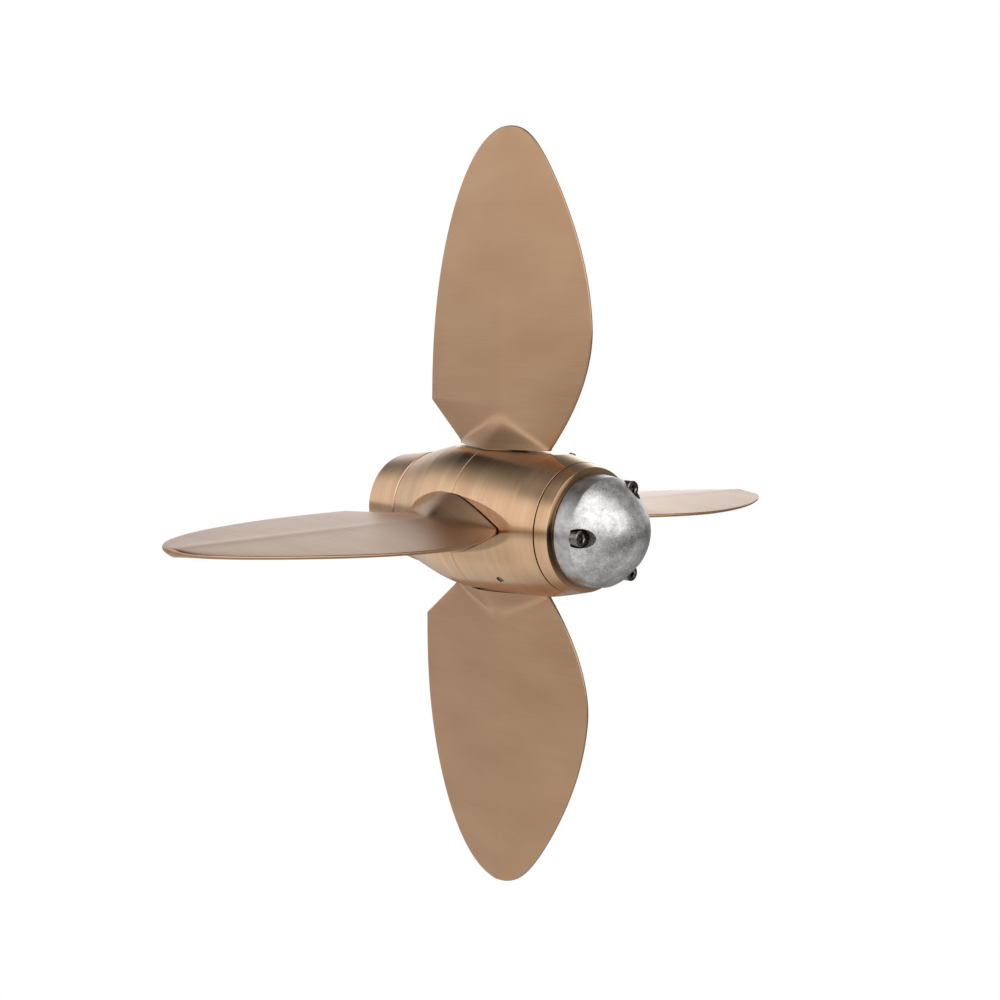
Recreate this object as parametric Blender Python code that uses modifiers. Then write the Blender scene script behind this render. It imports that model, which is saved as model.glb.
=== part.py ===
# Four-blade feathering propeller, at rest with its blades feathered.
# The shaft runs along Y with the forward end at +Y, the origin is where the blade axes meet it,
# and +Z is up. Every size below is in millimetres and is turned into metres when a mesh is made.

import math

import bmesh
import bpy
from mathutils import Matrix, Vector

MM = 0.001
GAP = 0.3

# hub, the barrel that turns on the shaft boss
# it is turned in four runs that meet at faint edges: place along the shaft, radius there,
# and how far the run aft of that place bulges at its middle
HUB_RUNS = (
    (66.9, 38.7, 0.2),
    (36.8, 46.6, 0.5),
    (10.0, 49.8, 0.85),
    (-54.0, 45.5, 0.15),
    (-80.1, 39.3, 0.0),
)
HUB_FORWARD_Y = 66.9
HUB_AFT_Y = -70.65
COVER_AFT_Y = -80.1
COVER_FACE_Y = -81.6
COVER_FACE_RADIUS = 36.0
EDGE_BREAK = 0.4
SEAT_PLANE = 45.5
HUB_STEPS_FRONT = 6
HUB_STEPS_REAR = 6
COVER_STEPS = 2

# shaft boss, the part that is keyed on the propeller shaft
COLLAR_FRONT_Y = 99.2
COLLAR_FRONT_RADIUS = 34.9
COLLAR_REAR_RADIUS = 39.0
COLLAR_CHAMFER = 1.0
NECK_RADIUS = 26.4
NECK_AFT_Y = 24.4
TUBE_RADIUS = 17.5
BOSS_AFT_Y = -41.0
SHAFT_RADIUS = 17.5
TAPER_AFT_Y = -3.0
TAPER_AFT_RADIUS = 12.3
KEY_WIDTH = 10.0
KEY_DEPTH = 3.3
KEY_AFT_Y = 30.0
KEY_OVERRUN = 10.0

# blades
BLADE_NAMES = ("top", "right", "bottom", "left")
BLADE_SET = math.radians(-1.33)
ROOT_FACE = 46.6
TIP_RADIUS = 250.0
TIP_Y = -0.9
ROOT_FORWARD = 41.0
ROOT_AFT = 43.5
SHOULDER_RADIUS = 74.3
SHOULDER_FORWARD = 74.0
WIDEST_RADIUS = 120.6
WIDEST_AFT = 79.1
FORWARD_POWER = 2.34
FORWARD_FLAT = 0.2
AFT_POWER = 1.55
AFT_FLAT = 0.58
AFT_ROOT_POWER = 1.9
MID_THICKNESS_ROOT = 9.2
MID_THICKNESS_TIP = 3.8
EDGE_THICKNESS = 1.8
ROOT_BULGE = 21.0
BULGE_WIDTH = 54.9
BULGE_POWER = 1.05
BULGE_FROM = 32.9
BULGE_TO = 70.0
BULGE_CREST = 5.8
BULGE_SOFTNESS = 0.06
BLADE_COLUMNS = 12
BLADE_STATIONS = (54.0, 61.0, 68.0, SHOULDER_RADIUS, 82.0, 91.0, 101.0, 118.0, 138.0)
BLADE_STATIONS += (158.0, 178.0, 197.0, 214.0, 228.0, 238.0, 245.0, 248.5, 249.8)

# blade foot, the turned stem that pivots inside the hub
JOURNAL_RADIUS = 15.9
FLANGE_RADIUS = 19.5
FLANGE_TOP = 38.4
FLANGE_BOTTOM = 33.5
STEM_RADIUS = 8.0
STEM_BOTTOM = 20.5
FOOT_OVERLAP = 3.0
WELL_RADIUS = 20.5
BORE_CLEARANCE = 0.5
CUTTER_REACH = 80.0
HOLE_OVERRUN = 3.0

# bevel gears: both pitch cones have their apex at the origin
PINION_TEETH = 20
CONE_TEETH = 32
PINION_OUTER = 29.0
PINION_INNER = 20.8
ADDENDUM_ANGLE = math.radians(2.2)
DEDENDUM_ANGLE = math.radians(2.65)
FLANK_ANGLE = math.radians(20.0)
BACKLASH = 0.4
CONE_RADIUS = 29.6
CONE_BACK_Y = -29.4
CONE_FRONT_Y = -12.6
CONE_BACK_CHAMFER = 4.0
CONE_FRONT_ROOM = 2.0
CONE_PLANE = 22.5
CONE_OVERLAP = 0.6
CONE_TRIM = 1.0
DISC_INNER = 14.0
DISC_OUTER = 27.0
RING_OUTER = 13.0
RING_INNER = 6.0
RING_OVERLAP = 1.0

# fasteners
BOLT_CIRCLE = 35.6
BOLT_ANGLES = (45.0, 135.0, 225.0, 315.0)
BOLT_RADIUS = 3.0
HEAD_RADIUS = 5.0
HEAD_HEIGHT = 6.0
HEX_ACROSS = 5.0
HEX_DEPTH = 3.0
BOLT_SEAT_Y = -58.0
BOLT_TIP_Y = 18.0
ANODE_SCREW_CIRCLE = 30.5
ANODE_SCREW_ANGLES = (181.0, 61.0, 301.0)
ANODE_SCREW_SEAT_Y = -95.0
ANODE_SCREW_TIP_Y = -59.0
POCKET_RADIUS = 5.9
HUB_SCREWS = {"hub_screw_lower": (225.6, -33.5), "hub_screw_upper": (72.0, -48.5)}
HUB_SCREW_RADIUS = 2.4
HUB_SCREW_PROUD = 1.5
HUB_SCREW_DEPTH = 7.0

# sacrificial anode
ANODE_BASE_RADIUS = 35.6
ANODE_BAND_RADIUS = 34.3
ANODE_BAND_Y = -94.4
ANODE_NOSE_Y = -120.3
ANODE_POWER = 1.79
ANODE_FULLNESS = 0.86
ANODE_RADII = (34.3, 33.0, 30.5, 27.0, 22.5, 17.0, 11.0, 5.0, 0.0)

# shaft nut and thrust washer
NUT_ACROSS_FLATS = 36.0
NUT_LENGTH = 17.0
NUT_BORE = 12.3
WASHER_RADIUS = 23.0
WASHER_THICKNESS = 3.0
NUT_CAVITY_RADIUS = 24.0
COVER_BORE = 21.5

STEPS = 48
MIDDLE_STEPS = 32
SMALL_STEPS = 16
SHARP_ANGLE = math.radians(28.0)


def clear_scene():
    for obj in list(bpy.data.objects):
        bpy.data.objects.remove(obj, do_unlink=True)


def new_collection(name, hidden=False):
    collection = bpy.data.collections.new(name)
    bpy.context.scene.collection.children.link(collection)
    collection.hide_render = hidden
    return collection


def new_material(name, colour, metallic, roughness):
    material = bpy.data.materials.new(name)
    material.use_nodes = True
    shader = material.node_tree.nodes["Principled BSDF"]
    shader.inputs["Base Color"].default_value = (*colour, 1.0)
    shader.inputs["Metallic"].default_value = metallic
    shader.inputs["Roughness"].default_value = roughness
    return material


def add_object(name, mesh, collection, material=None):
    obj = bpy.data.objects.new(name, mesh)
    collection.objects.link(obj)
    if material:
        mesh.materials.append(material)
    return obj


def add_helper(name, mesh):
    obj = add_object(name, mesh, cutters)
    obj.hide_render = True
    obj.display_type = "WIRE"
    return obj


def finished(obj):
    """The object's mesh with its modifiers applied."""
    bpy.context.view_layer.update()
    graph = bpy.context.evaluated_depsgraph_get()
    return bpy.data.meshes.new_from_object(obj.evaluated_get(graph))


def smooth(mesh):
    mesh.shade_smooth()
    mesh.set_sharp_from_angle(angle=SHARP_ANGLE)


def turned_mesh(name, profile, steps=STEPS):
    """Mesh of a closed profile of (radius, height) points turned round Z.

    The points run down the outer side first, then back up the inner side.
    """
    points = [(radius * MM, 0.0, height * MM) for radius, height in profile]
    on_axis = profile[0][0] == 0.0 and profile[-1][0] == 0.0
    links = [(i, i + 1) for i in range(len(points) - 1)]
    if not on_axis:
        links.append((len(points) - 1, 0))
    wire = bpy.data.meshes.new(name)
    wire.from_pydata(points, links, [])
    obj = add_helper(name + "_profile", wire)
    screw = obj.modifiers.new("Turn", "SCREW")
    screw.steps = steps
    screw.render_steps = steps
    screw.use_merge_vertices = True
    screw.merge_threshold = 0.00001
    mesh = finished(obj)
    mesh.name = name
    bpy.data.objects.remove(obj)
    smooth(mesh)
    return mesh


def along_shaft():
    """Turns a mesh's own +Z to the shaft's forward direction, +Y."""
    return Matrix.Rotation(-math.pi / 2, 4, "X")


def radial(angle):
    """Turns a mesh's own +Z outwards from the shaft; 0 points to +X and 90 to +Z."""
    return Matrix.Rotation(math.pi / 2 - math.radians(angle), 4, "Y")


def shaft_side(radius, angle, matrix):
    """Moves a mesh that lies along the shaft out to a pitch circle."""
    turn = math.radians(angle)
    offset = Vector((radius * math.cos(turn), 0.0, radius * math.sin(turn))) * MM
    return Matrix.Translation(offset) @ matrix


def placed(name, mesh, matrix, collection=None, material=None):
    if collection:
        obj = add_object(name, mesh, collection, material)
    else:
        obj = add_helper(name, mesh)
    obj.matrix_world = matrix
    return obj


def cut(obj, tools, operation="DIFFERENCE"):
    for tool in tools:
        boolean = obj.modifiers.new(tool.name, "BOOLEAN")
        boolean.operation = operation
        boolean.object = tool
        boolean.solver = "EXACT"


def hex_prism(name, across_flats, low, high):
    """Six-sided prism along Z."""
    mesh = bpy.data.meshes.new(name)
    shape = bmesh.new()
    radius = across_flats / 2 / math.cos(math.pi / 6) * MM
    bmesh.ops.create_cone(
        shape, cap_ends=True, segments=6, radius1=radius, radius2=radius, depth=(high - low) * MM
    )
    bmesh.ops.translate(shape, verts=shape.verts, vec=(0.0, 0.0, (low + high) / 2 * MM))
    shape.to_mesh(mesh)
    shape.free()
    return mesh


def hub_radius(y):
    """The barrel: straight between the ends of its run, plus a parabola for the run's bulge."""
    for (start, first, bulge), (end, last, _) in zip(HUB_RUNS, HUB_RUNS[1:]):
        if y >= end:
            share = min(1.0, max(0.0, (start - y) / (start - end)))
            return first + (last - first) * share + 4 * bulge * share * (1 - share)
    return HUB_RUNS[-1][1]


def barrel(start, end, count):
    """Profile points along the barrel, with both edges broken by a small chamfer."""
    step = EDGE_BREAK if end > start else -EDGE_BREAK
    points = [(hub_radius(start) - EDGE_BREAK, start)]
    for i in range(count + 1):
        y = start + step + (end - start - 2 * step) * i / count
        points.append((hub_radius(y), y))
    points.append((hub_radius(end) - EDGE_BREAK, end))
    return points


def make_well_cutters():
    """One cutter for each blade: its flat seat, its bore and the cavity for flange and gear."""
    mesh = turned_mesh(
        "blade_well",
        [
            (0.0, CUTTER_REACH),
            (CUTTER_REACH, CUTTER_REACH),
            (CUTTER_REACH, SEAT_PLANE),
            (JOURNAL_RADIUS + BORE_CLEARANCE, SEAT_PLANE),
            (JOURNAL_RADIUS + BORE_CLEARANCE, FLANGE_TOP + GAP),
            (WELL_RADIUS, FLANGE_TOP + GAP),
            (WELL_RADIUS, 0.0),
            (0.0, 0.0),
        ],
        MIDDLE_STEPS,
    )
    return [placed(f"well_{k}", mesh, radial(90 * k)) for k in range(4)]


def make_bolt_cutters():
    mesh = turned_mesh(
        "bolt_hole",
        [
            (0.0, BOLT_TIP_Y + HOLE_OVERRUN),
            (BOLT_RADIUS + GAP, BOLT_TIP_Y + HOLE_OVERRUN),
            (BOLT_RADIUS + GAP, BOLT_SEAT_Y + GAP),
            (HEAD_RADIUS + GAP, BOLT_SEAT_Y + GAP),
            (HEAD_RADIUS + GAP, HUB_AFT_Y - HOLE_OVERRUN),
            (0.0, HUB_AFT_Y - HOLE_OVERRUN),
        ],
        SMALL_STEPS,
    )
    return [
        placed(f"bolt_hole_{k}", mesh, shaft_side(BOLT_CIRCLE, angle, along_shaft()))
        for k, angle in enumerate(BOLT_ANGLES)
    ]


def make_anode_screw_cutters():
    mesh = turned_mesh(
        "anode_screw_hole",
        [
            (0.0, ANODE_SCREW_TIP_Y + HOLE_OVERRUN),
            (BOLT_RADIUS + GAP, ANODE_SCREW_TIP_Y + HOLE_OVERRUN),
            (BOLT_RADIUS + GAP, ANODE_SCREW_SEAT_Y + GAP),
            (POCKET_RADIUS, ANODE_SCREW_SEAT_Y + GAP),
            (POCKET_RADIUS, ANODE_NOSE_Y - HOLE_OVERRUN),
            (0.0, ANODE_NOSE_Y - HOLE_OVERRUN),
        ],
        SMALL_STEPS,
    )
    return [
        placed(f"anode_screw_hole_{k}", mesh, shaft_side(ANODE_SCREW_CIRCLE, angle, along_shaft()))
        for k, angle in enumerate(ANODE_SCREW_ANGLES)
    ]


def hub_screw_matrix(angle, y):
    return Matrix.Translation((0.0, y * MM, 0.0)) @ radial(angle)


def make_hub_screws(collection, material):
    holes = []
    for name, (angle, y) in HUB_SCREWS.items():
        surface = hub_radius(y)
        bottom = surface - HUB_SCREW_DEPTH
        hole = turned_mesh(
            name + "_hole",
            [
                (0.0, surface + HOLE_OVERRUN),
                (HUB_SCREW_RADIUS + GAP, surface + HOLE_OVERRUN),
                (HUB_SCREW_RADIUS + GAP, bottom - GAP),
                (0.0, bottom - GAP),
            ],
            SMALL_STEPS,
        )
        holes.append(placed(name + "_cutter", hole, hub_screw_matrix(angle, y)))
        top = surface + HUB_SCREW_PROUD
        screw = turned_mesh(
            name,
            [
                (0.0, top),
                (HUB_SCREW_RADIUS - EDGE_BREAK, top),
                (HUB_SCREW_RADIUS, top - EDGE_BREAK),
                (HUB_SCREW_RADIUS, bottom),
                (0.0, bottom),
            ],
            SMALL_STEPS,
        )
        placed(name, screw, hub_screw_matrix(angle, y), collection, material)
    return holes


def make_hub(collection, material, wells, bolt_holes, anode_screw_holes, hub_screw_holes):
    front_inner = [
        (TUBE_RADIUS + BORE_CLEARANCE, GAP / 2),
        (TUBE_RADIUS + BORE_CLEARANCE, NECK_AFT_Y - GAP),
        (NECK_RADIUS + GAP, NECK_AFT_Y - GAP),
        (NECK_RADIUS + GAP, HUB_FORWARD_Y),
    ]
    front = turned_mesh("hub_front_half", barrel(HUB_FORWARD_Y, GAP / 2, HUB_STEPS_FRONT) + front_inner)
    front_half = placed("hub_front_half", front, along_shaft(), collection, material)
    cut(front_half, wells + bolt_holes)

    rear_inner = [
        (NUT_CAVITY_RADIUS, HUB_AFT_Y),
        (NUT_CAVITY_RADIUS, BOSS_AFT_Y + GAP),
        (TUBE_RADIUS + GAP, BOSS_AFT_Y + GAP),
        (TUBE_RADIUS + GAP, CONE_BACK_Y - BORE_CLEARANCE),
        (CONE_RADIUS + BORE_CLEARANCE, CONE_BACK_Y - BORE_CLEARANCE),
        (CONE_RADIUS + BORE_CLEARANCE, CONE_FRONT_Y + CONE_FRONT_ROOM),
        (TUBE_RADIUS + BORE_CLEARANCE, CONE_FRONT_Y + CONE_FRONT_ROOM),
        (TUBE_RADIUS + BORE_CLEARANCE, -GAP / 2),
    ]
    rear = turned_mesh("hub_rear_half", barrel(-GAP / 2, HUB_AFT_Y, HUB_STEPS_REAR) + rear_inner)
    rear_half = placed("hub_rear_half", rear, along_shaft(), collection, material)
    cut(rear_half, wells + bolt_holes + anode_screw_holes + hub_screw_holes)


def make_rear_cover(collection, material, anode_screw_holes):
    """Thin ring that ends the barrel; a cone on its aft side leads in to the anode's seat."""
    top = HUB_AFT_Y - GAP
    aft = [(COVER_FACE_RADIUS, COVER_FACE_Y), (COVER_BORE, COVER_FACE_Y), (COVER_BORE, top)]
    mesh = turned_mesh("rear_cover", barrel(top, COVER_AFT_Y, COVER_STEPS) + aft)
    cover = placed("rear_cover", mesh, along_shaft(), collection, material)
    cut(cover, anode_screw_holes)


def make_anode(collection, material, anode_screw_holes):
    """Zinc cone: a plain turned band, then a cone that rounds off to the nose."""
    base = COVER_FACE_Y - GAP
    profile = [(0.0, base), (ANODE_BASE_RADIUS - EDGE_BREAK, base), (ANODE_BASE_RADIUS, base - EDGE_BREAK)]
    for radius in ANODE_RADII:
        rise = (1 - (radius / ANODE_BAND_RADIUS) ** ANODE_POWER) ** ANODE_FULLNESS
        profile.append((radius, ANODE_BAND_Y + (ANODE_NOSE_Y - ANODE_BAND_Y) * rise))
    anode = placed("anode_cone", turned_mesh("anode_cone", profile), along_shaft(), collection, material)
    cut(anode, anode_screw_holes)


def socket_screw_mesh(name, seat, tip):
    """Cap screw along Z with its hexagon socket facing -Z."""
    top = seat - HEAD_HEIGHT
    body = turned_mesh(
        name + "_body",
        [
            (0.0, tip),
            (BOLT_RADIUS - EDGE_BREAK, tip),
            (BOLT_RADIUS, tip - EDGE_BREAK),
            (BOLT_RADIUS, seat),
            (HEAD_RADIUS, seat),
            (HEAD_RADIUS, top + EDGE_BREAK),
            (HEAD_RADIUS - EDGE_BREAK, top),
            (0.0, top),
        ],
        SMALL_STEPS,
    )
    blank = add_helper(name + "_blank", body)
    hexagon = hex_prism(name + "_socket", HEX_ACROSS, top - HEX_DEPTH, top + HEX_DEPTH)
    socket = add_helper(name + "_socket", hexagon)
    cut(blank, [socket])
    mesh = finished(blank)
    mesh.name = name
    bpy.data.objects.remove(blank)
    bpy.data.objects.remove(socket)
    return mesh


def make_socket_screws(name, mesh, circle, angles, collection, material):
    mesh.materials.append(material)
    for number, angle in enumerate(angles, 1):
        placed(f"{name}_{number}", mesh, shaft_side(circle, angle, along_shaft()), collection)


def make_boss(collection, material):
    """Collar, bearing neck and tube, bored with the shaft's taper and cut for its key."""
    taper = math.atan((SHAFT_RADIUS - TAPER_AFT_RADIUS) / (COLLAR_FRONT_Y - TAPER_AFT_Y))
    collar_rear = HUB_FORWARD_Y + GAP
    profile = [
        (COLLAR_FRONT_RADIUS - COLLAR_CHAMFER, COLLAR_FRONT_Y),
        (COLLAR_FRONT_RADIUS, COLLAR_FRONT_Y - COLLAR_CHAMFER),
        (COLLAR_REAR_RADIUS, collar_rear + EDGE_BREAK),
        (COLLAR_REAR_RADIUS - EDGE_BREAK, collar_rear),
        (NECK_RADIUS, collar_rear),
        (NECK_RADIUS, NECK_AFT_Y),
        (TUBE_RADIUS, NECK_AFT_Y),
        (TUBE_RADIUS, BOSS_AFT_Y),
        (TAPER_AFT_RADIUS, BOSS_AFT_Y),
        (TAPER_AFT_RADIUS, TAPER_AFT_Y),
        (SHAFT_RADIUS, COLLAR_FRONT_Y),
    ]
    boss = placed("shaft_boss", turned_mesh("shaft_boss", profile), along_shaft(), collection, material)
    key = bpy.data.meshes.new("keyway")
    shape = bmesh.new()
    bmesh.ops.create_cube(shape, size=1.0)
    length = COLLAR_FRONT_Y - KEY_AFT_Y + KEY_OVERRUN
    depth = SHAFT_RADIUS + KEY_DEPTH
    middle = Vector((0.0, KEY_OVERRUN - length / 2, -depth / 2))
    bmesh.ops.scale(shape, verts=shape.verts, vec=(KEY_WIDTH * MM, length * MM, depth * MM))
    bmesh.ops.translate(shape, verts=shape.verts, vec=middle * MM)
    shape.to_mesh(key)
    shape.free()
    top = Matrix.Translation((0.0, COLLAR_FRONT_Y * MM, depth * MM))
    keyway = placed("keyway", key, top @ Matrix.Rotation(taper, 4, "X"))
    cut(boss, [keyway])


def make_nut_and_washer(collection, bronze, steel):
    top = BOSS_AFT_Y - GAP
    washer = [
        (WASHER_RADIUS, top),
        (WASHER_RADIUS, top - WASHER_THICKNESS),
        (NUT_BORE, top - WASHER_THICKNESS),
        (NUT_BORE, top),
    ]
    washer_mesh = turned_mesh("thrust_washer", washer, MIDDLE_STEPS)
    placed("thrust_washer", washer_mesh, along_shaft(), collection, steel)
    nut_top = top - WASHER_THICKNESS - GAP
    hexagon = hex_prism("nut_blank", NUT_ACROSS_FLATS, nut_top - NUT_LENGTH, nut_top)
    blank = add_helper("nut_blank", hexagon)
    bore_profile = [(0.0, 0.0), (NUT_BORE, 0.0), (NUT_BORE, -CUTTER_REACH), (0.0, -CUTTER_REACH)]
    bore = add_helper("nut_bore", turned_mesh("nut_bore", bore_profile, MIDDLE_STEPS))
    cut(blank, [bore])
    mesh = finished(blank)
    mesh.name = "shaft_nut"
    bpy.data.objects.remove(blank)
    bpy.data.objects.remove(bore)
    placed("shaft_nut", mesh, along_shaft(), collection, bronze)


def toothed_cone(name, teeth, pitch_angle, inner, outer, first_angle):
    """Frustum of a bevel gear along +Z with its apex at the origin, one loft from plane to plane."""
    pitch = outer * math.tan(pitch_angle)
    tip = outer * math.tan(pitch_angle + ADDENDUM_ANGLE)
    root = outer * math.tan(pitch_angle - DEDENDUM_ANGLE)
    slant = outer / math.cos(pitch_angle)
    half = math.pi * pitch / teeth / 2 - BACKLASH / 2
    tip_half = half - slant * ADDENDUM_ANGLE * math.tan(FLANK_ANGLE)
    root_half = half + slant * DEDENDUM_ANGLE * math.tan(FLANK_ANGLE)
    outline = []
    for number in range(teeth):
        centre = first_angle + 2 * math.pi * number / teeth
        for radius, side in ((root, -root_half), (tip, -tip_half), (tip, tip_half), (root, root_half)):
            turn = centre + side / radius
            outline.append((radius * math.cos(turn), radius * math.sin(turn)))
    mesh = bpy.data.meshes.new(name)
    shape = bmesh.new()
    rings = []
    for height in (inner, outer):
        scale = height / outer
        rings.append([shape.verts.new((x * scale * MM, y * scale * MM, height * MM)) for x, y in outline])
    count = len(outline)
    for i in range(count):
        j = (i + 1) % count
        shape.faces.new((rings[0][i], rings[0][j], rings[1][j], rings[1][i]))
    shape.faces.new(reversed(rings[0]))
    shape.faces.new(rings[1])
    shape.to_mesh(mesh)
    shape.free()
    return mesh


def make_cone_gear(collection, material):
    """Gear keyed on the boss; a gap between teeth faces each blade axis at rest."""
    pitch_angle = math.atan(CONE_TEETH / PINION_TEETH)
    first_angle = math.pi / CONE_TEETH
    teeth = toothed_cone("cone_teeth", CONE_TEETH, pitch_angle, -CONE_FRONT_Y, CONE_PLANE, first_angle)
    back = -CONE_BACK_Y
    front = -CONE_FRONT_Y - CONE_TRIM
    blank_profile = [
        (TUBE_RADIUS + GAP, back),
        (CONE_RADIUS - CONE_BACK_CHAMFER, back),
        (CONE_RADIUS, back - CONE_BACK_CHAMFER),
        (CONE_RADIUS, front),
        (TUBE_RADIUS + GAP, front),
    ]
    # the disc overlaps the teeth a little and is trimmed to the blank
    disc_front = CONE_PLANE - CONE_OVERLAP
    disc_profile = [
        (DISC_INNER, back + CONE_TRIM),
        (DISC_OUTER, back + CONE_TRIM),
        (DISC_OUTER, disc_front),
        (DISC_INNER, disc_front),
    ]
    aft = Matrix.Rotation(math.pi / 2, 4, "X")
    gear = placed("cone_gear", teeth, aft, collection, material)
    disc = placed("cone_disc", turned_mesh("cone_disc", disc_profile), aft)
    blank = placed("cone_blank", turned_mesh("cone_blank", blank_profile), aft)
    cut(gear, [disc], "UNION")
    cut(gear, [blank], "INTERSECT")


def pinion_mesh():
    """Gear ring for one blade foot, along +Z, with a tooth facing the cone gear at rest."""
    pitch_angle = math.atan(PINION_TEETH / CONE_TEETH)
    first_angle = -math.pi / 2
    teeth = toothed_cone("pinion_teeth", PINION_TEETH, pitch_angle, PINION_INNER, PINION_OUTER, first_angle)
    blank = add_helper("pinion_blank", teeth)
    ring_top = FLANGE_BOTTOM - GAP
    ring_bottom = PINION_OUTER - RING_OVERLAP
    ring_profile = [
        (RING_OUTER, ring_top),
        (RING_OUTER, ring_bottom),
        (RING_INNER, ring_bottom),
        (RING_INNER, ring_top),
    ]
    ring = add_helper("pinion_ring", turned_mesh("pinion_ring", ring_profile, MIDDLE_STEPS))
    bore_radius = STEM_RADIUS + GAP
    bore_profile = [(0.0, CUTTER_REACH), (bore_radius, CUTTER_REACH), (bore_radius, 0.0), (0.0, 0.0)]
    bore = add_helper("pinion_bore", turned_mesh("pinion_bore", bore_profile, MIDDLE_STEPS))
    cut(blank, [ring], "UNION")
    cut(blank, [bore])
    mesh = finished(blank)
    mesh.name = "blade_gear"
    for helper in (blank, ring, bore):
        bpy.data.objects.remove(helper)
    return mesh


def closing(share, power, flat):
    """Ellipse-like fall from 1 to 0 as share goes from 0 to 1, drawn a little straighter near its end."""
    return max(0.0, 1 - share**power) ** 0.5 - flat * share**3 * (1 - share)


def forward_edge(radius):
    """Straight from the root to the shoulder, then a full ellipse-like curve to the tip."""
    if radius < SHOULDER_RADIUS:
        share = (radius - ROOT_FACE) / (SHOULDER_RADIUS - ROOT_FACE)
        return ROOT_FORWARD + (SHOULDER_FORWARD - ROOT_FORWARD) * share
    share = (radius - SHOULDER_RADIUS) / (TIP_RADIUS - SHOULDER_RADIUS)
    return TIP_Y + (SHOULDER_FORWARD - TIP_Y) * closing(share, FORWARD_POWER, FORWARD_FLAT)


def aft_edge(radius):
    """Bows out from the root to the widest radius, then closes to the tip."""
    if radius < WIDEST_RADIUS:
        share = (WIDEST_RADIUS - radius) / (WIDEST_RADIUS - ROOT_FACE)
        return -WIDEST_AFT + (WIDEST_AFT - ROOT_AFT) * share**AFT_ROOT_POWER
    share = (radius - WIDEST_RADIUS) / (TIP_RADIUS - WIDEST_RADIUS)
    return TIP_Y - (WIDEST_AFT + TIP_Y) * closing(share, AFT_POWER, AFT_FLAT)


def half_thickness(radius, y, across):
    """A thin lens over the chord, plus the mound that carries the foot and narrows above it.

    The mound's height is what the fade over the radius leaves above its nearly straight flanks,
    with a soft edge where it runs out into the blade.
    """
    span = (radius - ROOT_FACE) / (TIP_RADIUS - ROOT_FACE)
    middle = (MID_THICKNESS_ROOT + (MID_THICKNESS_TIP - MID_THICKNESS_ROOT) * span) / 2
    edge = EDGE_THICKNESS / 2
    lens = edge + (middle - edge) * (1 - across * across)
    fade = min(1.0, max(0.0, (radius - BULGE_FROM) / (BULGE_TO - BULGE_FROM)))
    ridge = math.hypot(y, BULGE_CREST) - BULGE_CREST
    rise = 0.5 * (1 + math.cos(math.pi * fade)) - (ridge / BULGE_WIDTH) ** BULGE_POWER
    return lens + ROOT_BULGE * 0.5 * (rise + math.hypot(rise, BULGE_SOFTNESS))


def blade_surface():
    """Closed loft of the blade from its root face to its tip, set a little off the shaft line."""
    mesh = bpy.data.meshes.new("blade_surface")
    shape = bmesh.new()
    rings = []
    across = [-math.cos(math.pi * i / BLADE_COLUMNS) for i in range(BLADE_COLUMNS + 1)]
    for radius in (ROOT_FACE, *BLADE_STATIONS):
        low, high = aft_edge(radius), forward_edge(radius)
        chord = [(low + (high - low) * (1 + s) / 2, s) for s in across]
        face = [(half_thickness(radius, y, s), y) for y, s in chord]
        back = [(-x, y) for x, y in reversed(face)]
        rings.append([shape.verts.new((x * MM, y * MM, radius * MM)) for x, y in face + back])
    count = len(rings[0])
    for lower, upper in zip(rings, rings[1:]):
        for i in range(count):
            j = (i + 1) % count
            shape.faces.new((lower[i], lower[j], upper[j], upper[i]))
    shape.faces.new(reversed(rings[0]))
    shape.faces.new(rings[-1])
    bmesh.ops.recalc_face_normals(shape, faces=shape.faces)
    bmesh.ops.rotate(shape, verts=shape.verts, matrix=Matrix.Rotation(BLADE_SET, 3, "Z"))
    shape.to_mesh(mesh)
    shape.free()
    return mesh


def blade_mesh():
    """The blade joined to its turned foot."""
    blank = add_helper("blade_blank", blade_surface())
    foot_profile = [
        (0.0, ROOT_FACE + FOOT_OVERLAP),
        (JOURNAL_RADIUS - FOOT_OVERLAP, ROOT_FACE + FOOT_OVERLAP),
        (JOURNAL_RADIUS, ROOT_FACE),
        (JOURNAL_RADIUS, FLANGE_TOP),
        (FLANGE_RADIUS, FLANGE_TOP),
        (FLANGE_RADIUS, FLANGE_BOTTOM),
        (STEM_RADIUS, FLANGE_BOTTOM),
        (STEM_RADIUS, STEM_BOTTOM),
        (0.0, STEM_BOTTOM),
    ]
    foot = add_helper("blade_foot", turned_mesh("blade_foot", foot_profile, MIDDLE_STEPS))
    cut(blank, [foot], "UNION")
    mesh = finished(blank)
    mesh.name = "blade"
    smooth(mesh)
    bpy.data.objects.remove(blank)
    bpy.data.objects.remove(foot)
    return mesh


def make_blades(collection, bronze, gear_bronze):
    """Four blades with their gears, all sharing one mesh; each turns about its own radial axis."""
    blade = blade_mesh()
    blade.materials.append(bronze)
    gear = pinion_mesh()
    gear.materials.append(gear_bronze)
    for number, name in enumerate(BLADE_NAMES):
        pivot = bpy.data.objects.new(f"pivot_{name}", None)
        collection.objects.link(pivot)
        pivot.matrix_world = radial(90 - 90 * number)
        for prefix, mesh in (("blade", blade), ("blade_gear", gear)):
            obj = placed(f"{prefix}_{name}", mesh, Matrix.Identity(4), collection)
            obj.parent = pivot


clear_scene()
parts = new_collection("feathering_propeller")
cutters = new_collection("cutters", hidden=True)

satin_bronze = new_material("satin_bronze", (0.43, 0.28, 0.17), 1.0, 0.35)
gear_bronze = new_material("gear_bronze", (0.45, 0.30, 0.18), 1.0, 0.45)
cast_zinc = new_material("cast_zinc", (0.45, 0.46, 0.48), 1.0, 0.5)
stainless_steel = new_material("stainless_steel", (0.5, 0.49, 0.48), 1.0, 0.3)

well_cutters = make_well_cutters()
bolt_cutters = make_bolt_cutters()
anode_screw_cutters = make_anode_screw_cutters()
hub_screw_cutters = make_hub_screws(parts, stainless_steel)

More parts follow.
